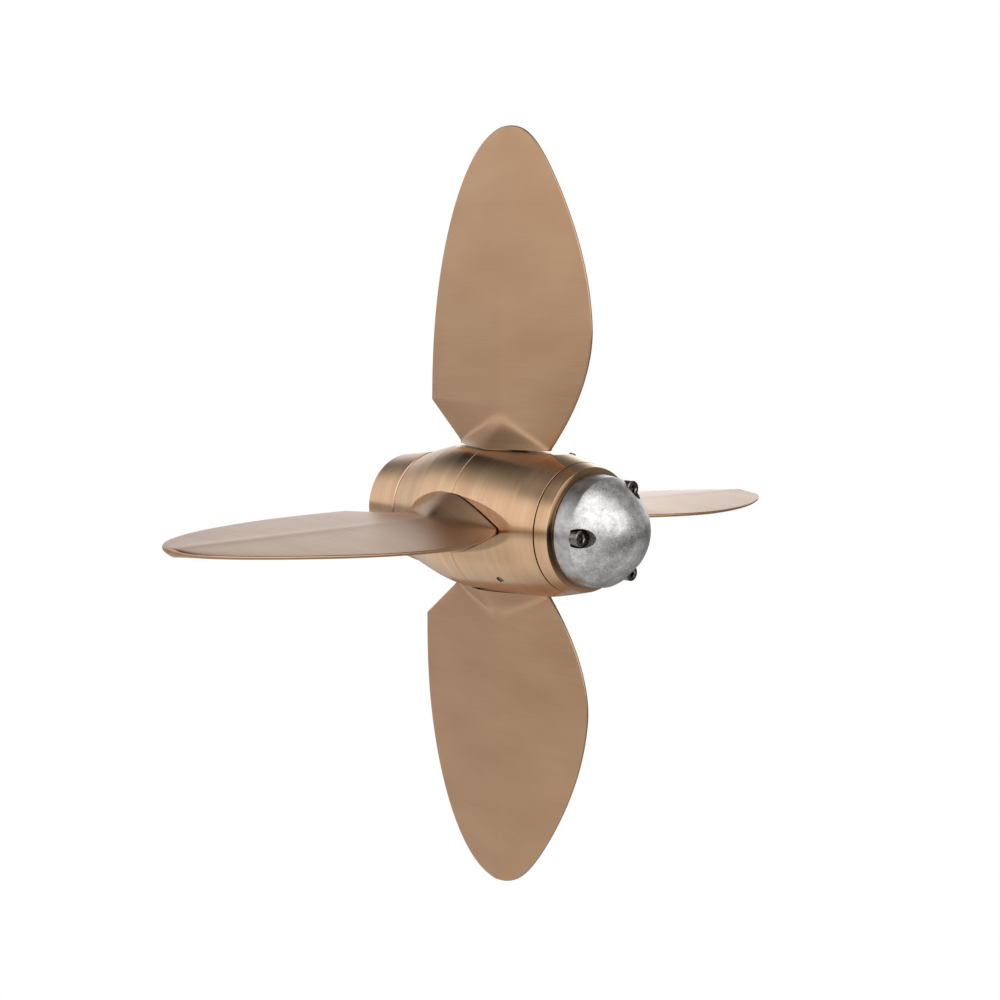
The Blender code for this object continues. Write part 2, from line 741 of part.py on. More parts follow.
make_boss(parts, satin_bronze)
make_cone_gear(parts, gear_bronze)
make_nut_and_washer(parts, gear_bronze, stainless_steel)
make_hub(parts, satin_bronze, well_cutters, bolt_cutters, anode_screw_cutters, hub_screw_cutters)
make_rear_cover(parts, satin_bronze, anode_screw_cutters)
make_anode(parts, cast_zinc, anode_screw_cutters)
make_blades(parts, satin_bronze, gear_bronze)

hub_bolt = socket_screw_mesh("hub_bolt", BOLT_SEAT_Y, BOLT_TIP_Y)
make_socket_screws("hub_bolt", hub_bolt, BOLT_CIRCLE, BOLT_ANGLES, parts, stainless_steel)
anode_screw = socket_screw_mesh("anode_screw", ANODE_SCREW_SEAT_Y, ANODE_SCREW_TIP_Y)
screw_angles = ANODE_SCREW_ANGLES
make_socket_screws("anode_screw", anode_screw, ANODE_SCREW_CIRCLE, screw_angles, parts, stainless_steel)
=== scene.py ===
import math

import bpy
import numpy as np
from mathutils import Matrix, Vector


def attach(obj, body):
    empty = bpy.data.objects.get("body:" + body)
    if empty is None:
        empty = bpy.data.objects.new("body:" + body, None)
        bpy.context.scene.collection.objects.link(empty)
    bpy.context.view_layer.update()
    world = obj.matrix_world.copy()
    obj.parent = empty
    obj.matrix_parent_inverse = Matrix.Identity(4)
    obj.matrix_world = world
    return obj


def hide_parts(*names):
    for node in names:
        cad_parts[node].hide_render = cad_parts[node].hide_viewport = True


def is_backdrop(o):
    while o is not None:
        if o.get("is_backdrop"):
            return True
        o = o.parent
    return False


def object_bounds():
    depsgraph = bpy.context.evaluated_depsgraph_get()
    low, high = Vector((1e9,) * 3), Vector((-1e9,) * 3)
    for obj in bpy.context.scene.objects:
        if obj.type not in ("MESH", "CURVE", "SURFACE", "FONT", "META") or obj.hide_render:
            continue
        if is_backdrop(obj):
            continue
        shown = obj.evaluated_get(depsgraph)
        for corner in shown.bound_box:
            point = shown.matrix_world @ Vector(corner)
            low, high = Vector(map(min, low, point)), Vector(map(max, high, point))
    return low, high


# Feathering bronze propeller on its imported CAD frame. Shapes are worked out in millimetres:
# +Y is forward along the shaft, the anode points to -Y, and the top blade stands along +Z.
mm = 0.001

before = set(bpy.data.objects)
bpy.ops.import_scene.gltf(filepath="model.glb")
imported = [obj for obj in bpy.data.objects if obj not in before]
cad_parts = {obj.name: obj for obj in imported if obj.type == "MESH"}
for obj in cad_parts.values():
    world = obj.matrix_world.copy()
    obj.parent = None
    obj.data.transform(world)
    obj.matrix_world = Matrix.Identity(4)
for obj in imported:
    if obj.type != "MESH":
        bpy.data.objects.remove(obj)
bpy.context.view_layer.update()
print("frame loaded with", len(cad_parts), "nodes")


# camera and light

camera = {
    "azimuth": -43.249,  # degrees round from dead aft, towards -X
    "elevation": 9.233,
    "roll": 0.706,
    "distance": 997.09,  # from the blade axes to the lens, along the line of sight
    "lens": 54.367,
    "aimRight": 2.067,  # where the blade axes sit in the picture, in mm at their distance
    "aimUp": 34.071,
    "shift": 0.06882,  # the photograph is the upper part of a level picture
}

studio = {
    "ceiling": 0.30,
    "wallFrom": 0.48,  # sine of the elevation where the walls start to darken to the ceiling
    "wallTo": 0.78,
    "wallDark": 0.30,  # the wall on the right and behind
    "wallBright": 1.14,  # the wall on the left
    "wallTowards": -112,  # azimuth of the brightest wall
    "floorDark": 0.30,
    "floorBright": 1.0,
    "sideFrom": -0.30,  # the side light fades over this range of the cosine to that azimuth
    "sideTo": 0.80,
    "horizonFrom": -0.34,  # sine of the elevation where the floor starts to darken to the horizon
    "horizonTo": -0.10,
    "horizon": 0.42,  # how much of the floor's light is left at the horizon
    # soft boxes above the floor: azimuth, elevation, inner and outer half angle in degrees,
    # added strength
    "boxes": [
        (-22, 38, 24, 44, 1.45),
        (-60, 68, 4, 30, 0.55),
        (150, 6, 8, 25, 0.86),
        (118, 4, 10, 28, 1.25),
        (125, 22, 6, 20, 0.2),
        (60, 22, 5, 24, 0.2),
        (-122, 9, 8, 24, 0.1),
        (150, 55, 16, 44, -0.14),
        (172, 33, 4, 22, -0.3),
    ],
    # dark and light patches on the floor, in the same form
    "patches": [
        (-72, -9, 8, 26, -0.30),
        (2, -17, 6, 24, -0.14),
        (62, -38, 6, 26, 0.30),
        (165, -30, 8, 34, 0.25),
        (-140, -32, 6, 20, -0.2),
        (20, -62, 14, 36, 0.25),
    ],
}


def directionOf(azimuth, elevation):
    # unit vector towards that azimuth and elevation, both in degrees
    a, e = math.radians(azimuth), math.radians(elevation)
    return np.array([math.sin(a) * math.cos(e), -math.cos(a) * math.cos(e), math.sin(e)])


def makeCamera(c):
    # the picture's right and up are the level ones turned by the roll about the line of sight
    back = directionOf(c["azimuth"], c["elevation"])
    level = directionOf(c["azimuth"] + 90, 0)
    upright = np.cross(back, level)
    roll = math.radians(c["roll"])
    right = level * math.cos(roll) + upright * math.sin(roll)
    up = upright * math.cos(roll) - level * math.sin(roll)
    place = (back * c["distance"] - right * c["aimRight"] - up * c["aimUp"]) * mm
    data = bpy.data.cameras.new("camera")
    data.lens = c["lens"]
    data.sensor_width = 36.0
    data.shift_y = c["shift"]
    data.clip_start, data.clip_end = 0.05, 50.0
    obj = bpy.data.objects.new("camera", data)
    bpy.context.scene.collection.objects.link(obj)
    world = np.eye(4)
    world[:3, 0], world[:3, 1], world[:3, 2], world[:3, 3] = right, up, back, place
    obj.matrix_world = Matrix(world.tolist())
    bpy.context.scene.camera = obj


def addNode(tree, kind, settings=None, links=None):
    # one node with its settings, its constant inputs and its links; a link is (node, output)
    node = tree.nodes.new(kind)
    for key, value in (settings or {}).items():
        if isinstance(key, str) and hasattr(node, key):
            setattr(node, key, value)
        else:
            node.inputs[key].default_value = value
    for key, (source, output) in (links or {}).items():
        tree.links.new(source.outputs[output], node.inputs[key])
    return node


def linear(colour):
    # sRGB hex such as "b0906f" to linear red, green, blue and alpha
    parts = [int(colour[i : i + 2], 16) / 255 for i in (0, 2, 4)]
    return (*[p / 12.92 if p <= 0.04045 else ((p + 0.055) / 1.055) ** 2.4 for p in parts], 1.0)


def fading(tree, source, output, low, high, first, last):
    # goes smoothly from first to last while the input goes from low to high
    settings = {"interpolation_type": "SMOOTHSTEP", 1: low, 2: high, 3: first, 4: last}
    return addNode(tree, "ShaderNodeMapRange", settings, {"Value": (source, output)})


def makeStudio(s):
    # the world is a dark and a bright side that darken to the ceiling, over a floor that is lit
    # from the same side, plus round soft boxes that are full inside their inner angle and fade
    # to nothing at their outer one
    world = bpy.data.worlds.new("studio")
    bpy.context.scene.world = world
    world.use_nodes = True
    tree = world.node_tree
    tree.nodes.clear()
    place = addNode(tree, "ShaderNodeTexCoord")
    split = addNode(tree, "ShaderNodeSeparateXYZ", links={"Vector": (place, "Generated")})

    def facing(azimuth, elevation):
        towards = tuple(directionOf(azimuth, elevation))
        settings = {"operation": "DOT_PRODUCT", 1: towards}
        return addNode(tree, "ShaderNodeVectorMath", settings, {0: (place, "Generated")})

    side = facing(s["wallTowards"], 0)
    wall = fading(tree, side, "Value", s["sideFrom"], s["sideTo"], s["wallDark"], s["wallBright"])
    ground = fading(tree, side, "Value", s["sideFrom"], s["sideTo"], s["floorDark"], s["floorBright"])
    height = fading(tree, split, "Z", s["wallFrom"], s["wallTo"], 0.0, 1.0)
    horizon = fading(tree, split, "Z", s["horizonFrom"], s["horizonTo"], 1.0, s["horizon"])
    product = {"operation": "MULTIPLY"}
    ground = addNode(tree, "ShaderNodeMath", product, {0: (ground, 0), 1: (horizon, 0)})
    mix = {"data_type": "FLOAT"}
    above = addNode(tree, "ShaderNodeMix", {**mix, 3: s["ceiling"]}, {0: (height, 0), 2: (wall, 0)})
    under = addNode(tree, "ShaderNodeMath", {"operation": "LESS_THAN", 1: 0.0}, {0: (split, "Z")})

    def lit(total, spots):
        plus = {"operation": "ADD"}
        for azimuth, elevation, inner, outer, strength in spots:
            edge, full = math.cos(math.radians(outer)), math.cos(math.radians(inner))
            spot = fading(tree, facing(azimuth, elevation), "Value", edge, full, 0.0, strength)
            total = addNode(tree, "ShaderNodeMath", plus, {0: (total, 0), 1: (spot, 0)})
        return total

    above = lit(above, s["boxes"])
    ground = lit(ground, s["patches"])
    total = addNode(tree, "ShaderNodeMix", mix, {0: (under, 0), 2: (above, 0), 3: (ground, 0)})
    ray = addNode(tree, "ShaderNodeLightPath")
    white = (1.0, 1.0, 1.0, 1.0)
    light = addNode(tree, "ShaderNodeBackground", {"Color": white}, {"Strength": (total, 0)})
    seen = addNode(tree, "ShaderNodeBackground", {"Color": white, "Strength": 1.0})
    parts = {0: (ray, "Is Camera Ray"), 1: (light, 0), 2: (seen, 0)}
    both = addNode(tree, "ShaderNodeMixShader", links=parts)
    addNode(tree, "ShaderNodeOutputWorld", links={"Surface": (both, 0)})


makeCamera(camera)
makeStudio(studio)
bpy.context.scene.view_settings.view_transform = "Standard"
print("camera and studio made")


# surfaces


def gridFaces(rows, columns, poles):
    # quads between neighbouring rows, wrapping round the columns; a pole row is one point
    # joined by triangles
    index = np.arange(rows * columns).reshape(rows, columns)
    following = np.roll(index, -1, axis=1)
    quads = np.stack([index[:-1], following[:-1], following[1:], index[1:]], axis=-1)
    if not poles:
        last = np.stack([index[-1], following[-1], following[0], index[0]], axis=-1)
        return np.concatenate([quads, last[None]]).reshape(-1, 4), np.zeros((0, 3), int)
    first = np.stack([index[0] * 0, following[1], index[1]], axis=-1)
    end = np.stack([index[-2], following[-2], index[-1] * 0 + index[-1, 0]], axis=-1)
    return quads[1:-1].reshape(-1, 4), np.concatenate([first, end])


def meshFromGrid(name, points, material=None, poles=True, sharp=30.0):
    # points is rows x columns x 3 in mm and closes round its columns. With poles its first and
    # last rows are single points, and without them the last row joins the first. U runs along
    # the rows' path and V round the columns, so that a tangent along U lies across the tool marks.
    rows, columns = points.shape[:2]
    quads, triangles = gridFaces(rows, columns, poles)
    flat = points.reshape(-1, 3)
    corners = np.concatenate([quads[:, :3], quads[:, [0, 2, 3]], triangles])
    spin = np.cross(flat[corners[:, 1]], flat[corners[:, 2]])
    if np.einsum("ij,ij->i", flat[corners[:, 0]], spin).sum() < 0:
        quads, triangles = quads[:, ::-1], triangles[:, ::-1]
    path = np.linalg.norm(np.diff(points, axis=0), axis=2).mean(1)
    u = np.concatenate([[0.0], np.cumsum(path)]) * mm
    v = np.arange(columns) / columns
    uv = np.stack(np.broadcast_arrays(u[:, None], v[None, :]), axis=-1).reshape(-1, 2)
    used = np.ones(len(flat), bool)
    if poles:
        used[1:columns] = False
        used[-columns + 1 :] = False
        last = (rows - 1) * columns
        triangles = np.where(triangles > last, last, triangles)
    number = np.cumsum(used) - 1
    mesh = bpy.data.meshes.new(name)
    faces = number[quads].tolist() + number[triangles].tolist()
    mesh.from_pydata((flat[used] * mm).tolist(), [], faces)
    loopUv = uv[np.concatenate([quads.ravel(), triangles.ravel()])]
    wrap = [np.repeat(np.ptp(uv[f][:, :, 1], axis=1) > 0.5, f.shape[1]) for f in (quads, triangles)]
    loopUv[:, 1] += np.concatenate(wrap) & (loopUv[:, 1] < 0.5)
    layer = mesh.uv_layers.new(name="surface")
    layer.data.foreach_set("uv", loopUv.astype(np.float32).ravel())
    if material:
        mesh.materials.append(material)
    mesh.shade_smooth()
    mesh.set_sharp_from_angle(angle=math.radians(sharp))
    obj = bpy.data.objects.new(name, mesh)
    bpy.context.scene.collection.objects.link(obj)
    return obj


def turned(profile, columns):
    # a profile of (radius, place along Y) turned round the shaft axis: x = r cos a, z = r sin a
    angle = 2 * np.pi * np.arange(columns) / columns
    radius, along = np.asarray(profile, float).T
    grid = np.empty((len(radius), columns, 3))
    grid[..., 0] = radius[:, None] * np.cos(angle)
    grid[..., 1] = along[:, None]
    grid[..., 2] = radius[:, None] * np.sin(angle)
    return grid


def finely(profile, step):
    # the same profile with points added so that none are further apart than step
    profile = np.asarray(profile, float)
    made = [profile[:1]]
    for a, b in zip(profile[:-1], profile[1:]):
        count = max(1, int(math.ceil(np.linalg.norm(b - a) / step)))
        share = np.arange(1, count + 1)[:, None] / count
        made.append(a + (b - a) * share)
    return np.concatenate(made)


def turnedOnto(grid, angle):
    # a shape made along +Z with its chord on Y is swung round the shaft to that angle from +X
    turn = math.radians(90 - angle)
    made = grid.copy()
    made[..., 0] = grid[..., 0] * math.cos(turn) + grid[..., 2] * math.sin(turn)
    made[..., 2] = grid[..., 2] * math.cos(turn) - grid[..., 0] * math.sin(turn)
    return made


def standing(grid, y=0.0):
    # a shape turned along Y is stood up along +Z, over the place y on the shaft
    made = grid[..., [0, 2, 1]]
    made[..., 1] += y
    return made


def beside(grid, circle, angle):
    # moves a shape along the shaft out to a circle of that radius, at that angle from +X
    turn = math.radians(angle)
    return grid + np.array([circle * math.cos(turn), 0.0, circle * math.sin(turn)])


def makeCutter(name, grid):
    # its walls take the second material of the piece that it cuts, where that has one: its own two
    # slots stay empty and only carry the index
    obj = meshFromGrid(name, grid)
    for empty in (None, None):
        obj.data.materials.append(empty)
    obj.data.polygons.foreach_set("material_index", np.ones(len(obj.data.polygons), np.int32))
    obj.hide_render = True
    obj.display_type = "WIRE"
    return obj


def cut(obj, tools):
    # a cutter is a child of the piece that it cuts last, so that it moves with its body
    for tool in tools:
        tool.parent = obj
        boolean = obj.modifiers.new(tool.name, "BOOLEAN")
        boolean.object = tool
        boolean.operation = "DIFFERENCE"
        boolean.solver = "EXACT"


def install(obj, body, nodes):
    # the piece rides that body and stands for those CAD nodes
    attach(obj, body)
    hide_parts(*nodes)


# materials


def coordinates(tree):
    # place on the piece in mm: x, y and z from Object coordinates, and u, the path across the marks
    place = addNode(tree, "ShaderNodeTexCoord")
    surface = addNode(tree, "ShaderNodeUVMap", {"uv_map": "surface"})
    scale = {"operation": "SCALE", "Scale": 1 / mm}
    solid = addNode(tree, "ShaderNodeVectorMath", scale, {0: (place, "Object")})
    across = addNode(tree, "ShaderNodeVectorMath", scale, {0: (surface, 0)})
    xyz = addNode(tree, "ShaderNodeSeparateXYZ", links={0: (solid, 0)})
    uv = addNode(tree, "ShaderNodeSeparateXYZ", links={0: (across, 0)})
    return xyz, uv


def stretched(tree, parts, sizes):
    # a vector of three inputs, each divided by its size in mm
    joined = addNode(tree, "ShaderNodeCombineXYZ", links={i: p for i, p in enumerate(parts)})
    settings = {"operation": "DIVIDE", 1: sizes}
    return addNode(tree, "ShaderNodeVectorMath", settings, {0: (joined, 0)})


def smooth(tree, vector):
    settings = {"Scale": 1.0, "Detail": 2.0, "Roughness": 0.5}
    return addNode(tree, "ShaderNodeTexNoise", settings, {"Vector": (vector, 0)})


def detailed(tree, vector):
    settings = {"Scale": 1.0, "Detail": 3.0, "Roughness": 0.6}
    return addNode(tree, "ShaderNodeTexNoise", settings, {"Vector": (vector, 0)})


def between(tree, source, low, high, first, last):
    # goes straight from first to last while the input goes from low to high, and stays there
    settings = {1: low, 2: high, 3: first, 4: last}
    return addNode(tree, "ShaderNodeMapRange", settings, {"Value": (source, 0)})


def newMaterial(name):
    material = bpy.data.materials.new(name)
    material.use_nodes = True
    tree = material.node_tree
    return material, tree, tree.nodes["Principled BSDF"]


def blended(tree, share, first, second):
    # the first number plus that share of the way to the second one
    settings = {"data_type": "FLOAT", 0: share}
    return addNode(tree, "ShaderNodeMix", settings, {2: (first, 0), 3: (second, 0)})


def tinted(tree, tone, look):
    # from the metal's dark tone to its light one
    settings = {"data_type": "RGBA", 6: linear(look["dark"]), 7: linear(look["light"])}
    return addNode(tree, "ShaderNodeMix", settings, {0: (tone, 0)})


def bumped(tree, source, height):
    settings = {"Strength": 1.0, "Distance": height * mm}
    return addNode(tree, "ShaderNodeBump", settings, {"Height": (source, 0)})


# noise lies mostly within these ranges: of a smooth noise or a mix of two, and of a detailed one
smoothRange = (0.35, 0.65)
detailRange = (0.3, 0.7)

bronzes = {
    # dark, light: the metal's two tones; roughness: lowest and highest; stretch: anisotropy;
    # marks: size across and along the tool marks in mm; cloud: size of the slow tone changes;
    # rings: the marks run round the shaft, and otherwise along the chord;
    # coat: share of a clear film that pales the metal at a flat angle, as handled bronze does
    "turnedBronze": {
        "dark": "c49f7d", "light": "d4b18f", "roughness": (0.21, 0.26), "stretch": 0.7,
        "marks": (1.0, 160.0), "cloud": (9.0, 90.0), "height": 0.0005, "rings": True, "coat": 0.05,
    },
    "brushedBronze": {
        "dark": "b08b6b", "light": "ba9676", "roughness": (0.31, 0.38), "stretch": 0.5,
        "marks": (1.1, 40.0), "cloud": (30.0, 70.0), "height": 0.004, "rings": False, "coat": 0.3,
    },
    # milled finish in a darker tone: painted shade for the walls of the holes
    "shadedMilledBronze": {
        "dark": "b08c6c", "light": "c4a17e", "roughness": (0.22, 0.30), "stretch": 0.2,
        "marks": (1.0, 60.0), "cloud": (9.0, 30.0), "height": 0.001, "rings": True, "coat": 0.0,
    },
    # a darker copy of the bronze: painted shade for the cone in the corner beside the anode
    "shadedPolishedBronze": {
        "dark": "86674c", "light": "9a7a5c", "roughness": (0.12, 0.18), "stretch": 0.0,
        "marks": (1.0, 60.0), "cloud": (9.0, 30.0), "height": 0.0005, "rings": True, "coat": 0.0,
    },
}
slowShare = 0.65
coatRoughness = 0.35


def makeBronze(name, b):
    # metal whose fine parallel marks blur reflections across them; the marks show as thin lines
    # of slightly other tone and gloss. They are drawn about twice as coarse as real ones, since
    # real ones are too fine to show.
    material, tree, shader = newMaterial(name)
    xyz, uv = coordinates(tree)
    across, along = b["marks"]
    wide, far = b["cloud"]
    if b["rings"]:
        parts = ((xyz, "Y"), (xyz, "X"), (xyz, "Z"))
    else:
        parts = ((uv, "X"), (xyz, "Y"), (xyz, "X"))
    fine = detailed(tree, stretched(tree, parts, (across, along, along)))
    slow = smooth(tree, stretched(tree, parts, (wide, far, far)))
    both = blended(tree, slowShare, fine, slow)
    colour = tinted(tree, between(tree, both, *smoothRange, 0.0, 1.0), b)
    gloss = between(tree, fine, *detailRange, *b["roughness"])
    bump = bumped(tree, fine, b["height"])
    tangent = addNode(tree, "ShaderNodeTangent", {"direction_type": "UV_MAP", "uv_map": "surface"})
    shader.inputs["Metallic"].default_value = 1.0
    shader.inputs["Anisotropic"].default_value = b["stretch"]
    shader.inputs["Coat Weight"].default_value = b["coat"]
    shader.inputs["Coat Roughness"].default_value = coatRoughness
    tree.links.new(colour.outputs[2], shader.inputs["Base Color"])
    tree.links.new(gloss.outputs[0], shader.inputs["Roughness"])
    tree.links.new(bump.outputs[0], shader.inputs["Normal"])
    tree.links.new(tangent.outputs[0], shader.inputs["Tangent"])
    return material


zincLook = {
    "dark": "828183",
    "light": "e6e4e1",
    "bandTone": (0.2, 0.6),
    "bandRoughness": 0.30,
    "castRoughness": (0.24, 0.50),
    "castRange": (0.3, 0.62),  # of the noise, so that more of the skin is light
    "castFrom": -94.0,  # the cast skin starts between these places along Y, where the band ends
    "castTo": -95.0,
    "grain": 0.7,  # mm; the cast skin's grain
    "lumps": 5.0,
    "lumpShare": 0.45,
    "height": 0.12,
}


def makeZinc(name, z):
    # cast zinc: a grainy skin over the dome whose grains catch the light one by one, and a plain
    # turned band ahead of it
    material, tree, shader = newMaterial(name)
    xyz, uv = coordinates(tree)
    parts = ((xyz, "X"), (xyz, "Y"), (xyz, "Z"))
    grain = detailed(tree, stretched(tree, parts, (z["grain"],) * 3))
    lumps = detailed(tree, stretched(tree, parts, (z["lumps"],) * 3))
    start = {1: z["castFrom"], 2: z["castTo"], 3: 0.0, 4: 1.0}
    cast = addNode(tree, "ShaderNodeMapRange", start, {"Value": (xyz, "Y")})
    both = blended(tree, z["lumpShare"], grain, lumps)
    rough = between(tree, both, *z["castRange"], 0.0, 1.0)
    plain = between(tree, lumps, *detailRange, *z["bandTone"])
    mix = {"data_type": "FLOAT"}
    tone = addNode(tree, "ShaderNodeMix", mix, {0: (cast, 0), 2: (plain, 0), 3: (rough, 0)})
    colour = tinted(tree, tone, z)
    gloss = between(tree, grain, *detailRange, *z["castRoughness"])
    band = {**mix, 2: z["bandRoughness"]}
    gloss = addNode(tree, "ShaderNodeMix", band, {0: (cast, 0), 3: (gloss, 0)})
    product = {"operation": "MULTIPLY"}
    rise = addNode(tree, "ShaderNodeMath", product, {0: (both, 0), 1: (cast, 0)})
    bump = bumped(tree, rise, z["height"])
    shader.inputs["Metallic"].default_value = 1.0
    tree.links.new(colour.outputs[2], shader.inputs["Base Color"])
    tree.links.new(gloss.outputs[0], shader.inputs["Roughness"])
    tree.links.new(bump.outputs[0], shader.inputs["Normal"])
    return material


plainMetals = {
    # dark, light: the metal's two tones; grain: size of its tone changes in mm
    "stainlessSteel": {"dark": "5f5955", "light": "8a8480", "roughness": (0.18, 0.30), "grain": 2.0},
    # painted shade: a dark zinc for the walls of the screw pockets
    "shadedPocketZinc": {"dark": "3c3a38", "light": "6e6b67", "roughness": (0.30, 0.50), "grain": 1.2},
    "gearBronze": {"dark": "b08a5c", "light": "c09a6c", "roughness": (0.34, 0.44), "grain": 4.0},
}


def makePlain(name, p):
    # plain machined metal with a little uneven tone and gloss
    material, tree, shader = newMaterial(name)
    xyz, uv = coordinates(tree)
    parts = ((xyz, "X"), (xyz, "Y"), (xyz, "Z"))
    cloud = smooth(tree, stretched(tree, parts, (p["grain"],) * 3))
    colour = tinted(tree, between(tree, cloud, *smoothRange, 0.0, 1.0), p)
    gloss = between(tree, cloud, *smoothRange, *p["roughness"])
    shader.inputs["Metallic"].default_value = 1.0
    tree.links.new(colour.outputs[2], shader.inputs["Base Color"])
    tree.links.new(gloss.outputs[0], shader.inputs["Roughness"])
    return material


# turned, for the barrel, cover and boss: rings of fine lines that draw lights out across them
turnedBronze = makeBronze("turnedBronze", bronzes["turnedBronze"])
# belt brushed, for the blades: a soft, even sheen with faint lines along the chord
brushedBronze = makeBronze("brushedBronze", bronzes["brushedBronze"])
# milled, for the walls of holes in the hub: duller and without a direction of its own, in a darker tone
# that is painted shade in the holes
shadedMilledBronze = makeBronze("shadedMilledBronze", bronzes["shadedMilledBronze"])
# polished, for the cover's cone: a mirror-like ring round the anode, in a darker tone that is painted
# shade for the corner beside the anode
shadedPolishedBronze = makeBronze("shadedPolishedBronze", bronzes["shadedPolishedBronze"])
# cast, for the anode: bright and grainy, with a plain turned band
castZinc = makeZinc("castZinc", zincLook)
# the same metal made dark for the screw pockets' walls: painted shade in the recesses
shadedPocketZinc = makePlain("shadedPocketZinc", plainMetals["shadedPocketZinc"])
# machined, for the screws, bolts and washer: dark grey with small bright lights
stainlessSteel = makePlain("stainlessSteel", plainMetals["stainlessSteel"])
# cut, for the hidden gears and nut: a plain yellowish bronze
gearBronze = makePlain("gearBronze", plainMetals["gearBronze"])

# hidden pieces stay as the CAD made them and only get their metal
hidden = {"cone_gear": gearBronze, "shaft_nut": gearBronze, "thrust_washer": stainlessSteel}
for name in ("top", "right", "bottom", "left"):
    hidden["blade_gear_" + name] = gearBronze
for number in range(1, 5):
    hidden[f"hub_bolt_{number}"] = stainlessSteel
for name, material in hidden.items():
    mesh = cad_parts[name].data
    mesh.materials.clear()
    mesh.materials.append(material)
print("materials made")


# hub barrel

hub = {
    # the barrel is turned in four runs that meet at faint edges: place along Y, radius there,
    # bulge of the run aft of it
    "runs": [
        (66.9, 38.7, 0.2),
        (36.8, 46.6, 0.5),
        (10.0, 49.8, 0.85),
        (-54.0, 45.5, 0.15),
        (-80.1, 39.3, 0.0),
    ],
    "front": 66.9,
    "rear": -70.45,
    "coverStart": -71.3,
    "cover": -80.1,
    "coverFace": (36.0, -81.6),  # radius and place of the flat that the anode sits on
    "coverBore": 21.5,
    "gap": 0.3,
    "edge": 0.12,  # broken edges
    "seatPlane": 45.5,  # flat seats for the blades, square to each blade axis
    "seatEdge": 0.15,  # rounding where a seat meets the barrel
    "neck": 26.7,
    "neckEnd": 24.1,
    "tube": 18.0,
    "tubeRear": 17.8,  # aft of the gear
    "gearRoom": (30.1, -29.9, -10.6),  # radius and both ends of the room for the cone gear
    "nutRoom": 24.0,
    "tubeEnd": -40.7,
    "columns": 576,
    "step": 0.52,
}


def barrelRadius(y):
    # straight between the ends of its run, plus a parabola that is the run's bulge at mid run
    y = np.asarray(y, float)
    radius = np.zeros_like(y)
    for (y0, r0, bulge), (y1, r1, _) in zip(hub["runs"][:-1], hub["runs"][1:]):
        share = (y0 - y) / (y0 - y1)
        inside = (share >= 0) & (share <= 1)
        here = r0 + (r1 - r0) * share + 4 * bulge * share * (1 - share)
        radius = np.where(inside, here, radius)
    return radius


def seated(grid):
    # lowers every point that stands above a blade seat onto it: the smaller of the barrel's radius
    # and the plane's distance at that angle, with a soft corner
    radius = np.hypot(grid[..., 0], grid[..., 2])
    angle = np.arctan2(grid[..., 2], grid[..., 0])
    nearest = np.cos((angle + np.pi / 4) % (np.pi / 2) - np.pi / 4)
    plane = hub["seatPlane"] / nearest
    soft = hub["seatEdge"]
    farOver, near = 30, 6  # where the exponent is cut off, and mm below a plane that stay as they are
    over = radius - soft * np.log1p(np.exp(np.clip((radius - plane) / soft, -farOver, farOver)))
    share = np.where(radius > plane - near, over, radius) / radius
    grid[..., 0] *= share
    grid[..., 2] *= share
    return grid


def paintFaces(obj, material, chosen):
    # gives the faces whose middle passes the test the extra material
    mesh = obj.data
    mesh.materials.append(material)
    middle = np.empty(len(mesh.polygons) * 3)
    mesh.polygons.foreach_get("center", middle)
    index = chosen(middle.reshape(-1, 3) / mm).astype(np.int32)
    mesh.polygons.foreach_set("material_index", index)


def onCone(middle):
    # on the cone between the cover's rim and the anode's seat
    return middle[:, 1] < hub["cover"] - 0.01


def hubShell(name, start, end, inner, seats):
    # the outer run from start to end with broken edges, cut by the seat planes and closed by the
    # inner profile
    step = hub["edge"] if end > start else -hub["edge"]
    along = np.linspace(start + step, end - step, int(abs(end - start) / hub["step"]))
    outer = np.stack([barrelRadius(along), along], axis=1)
    ends = [[(float(barrelRadius(y)) - hub["edge"], y)] for y in (start, end)]
    grid = turned(np.concatenate([ends[0], outer, ends[1], inner]), hub["columns"])
    return meshFromGrid(name, seated(grid) if seats else grid, turnedBronze, poles=False)


foot = {"bore": 16.4, "well": 20.5, "wellTop": 38.7, "reach": 80.0, "columns": 96}
screws = {
    "circle": 30.5,  # the three anode screws
    "angles": (181.0, 61.0, 301.0),
    "boltCircle": 35.6,
    "boltAngles": (45.0, 135.0, 225.0, 315.0),
    "hole": 3.3,
    "headHole": 5.3,
    "boltTip": 21.0,
    "boltSeat": -57.7,
    "boltEnd": -74.0,
    "boltColumns": 32,
    "tip": -56.0,
    "pocket": 5.9,
    "pocketSeat": -94.7,
    "pocketEnd": -124.0,
    "pocketColumns": 64,
}


def wellCutters():
    # one for each blade: its bore, and the wider room for the foot's flange and gear
    f = foot
    bore, well, top, reach = f["bore"], f["well"], f["wellTop"], f["reach"]
    profile = [(0, reach), (bore, reach), (bore, top), (well, top), (well, 0), (0, 0)]
    grid = standing(turned(profile, f["columns"]))
    return [makeCutter(f"well{k}", turnedOnto(grid, 90 * k)) for k in range(4)]


def stepped(narrow, wide, tip, seat, end):
    # a narrow hole from the tip to the screw head's seat and a wide one from there to the end
    return [(0, tip), (narrow, tip), (narrow, seat), (wide, seat), (wide, end), (0, end)]


def boltCutters():
    s = screws
    profile = stepped(s["hole"], s["headHole"], s["boltTip"], s["boltSeat"], s["boltEnd"])
    grid = turned(profile, s["boltColumns"])
    places = enumerate(s["boltAngles"])
    return [makeCutter(f"boltHole{k}", beside(grid, s["boltCircle"], a)) for k, a in places]


def anodeScrewCutters():
    s = screws
    profile = stepped(s["hole"], s["pocket"], s["tip"], s["pocketSeat"], s["pocketEnd"])
    grid = turned(profile, s["pocketColumns"])
    return [makeCutter(f"pocket{k}", beside(grid, s["circle"], a)) for k, a in enumerate(s["angles"])]


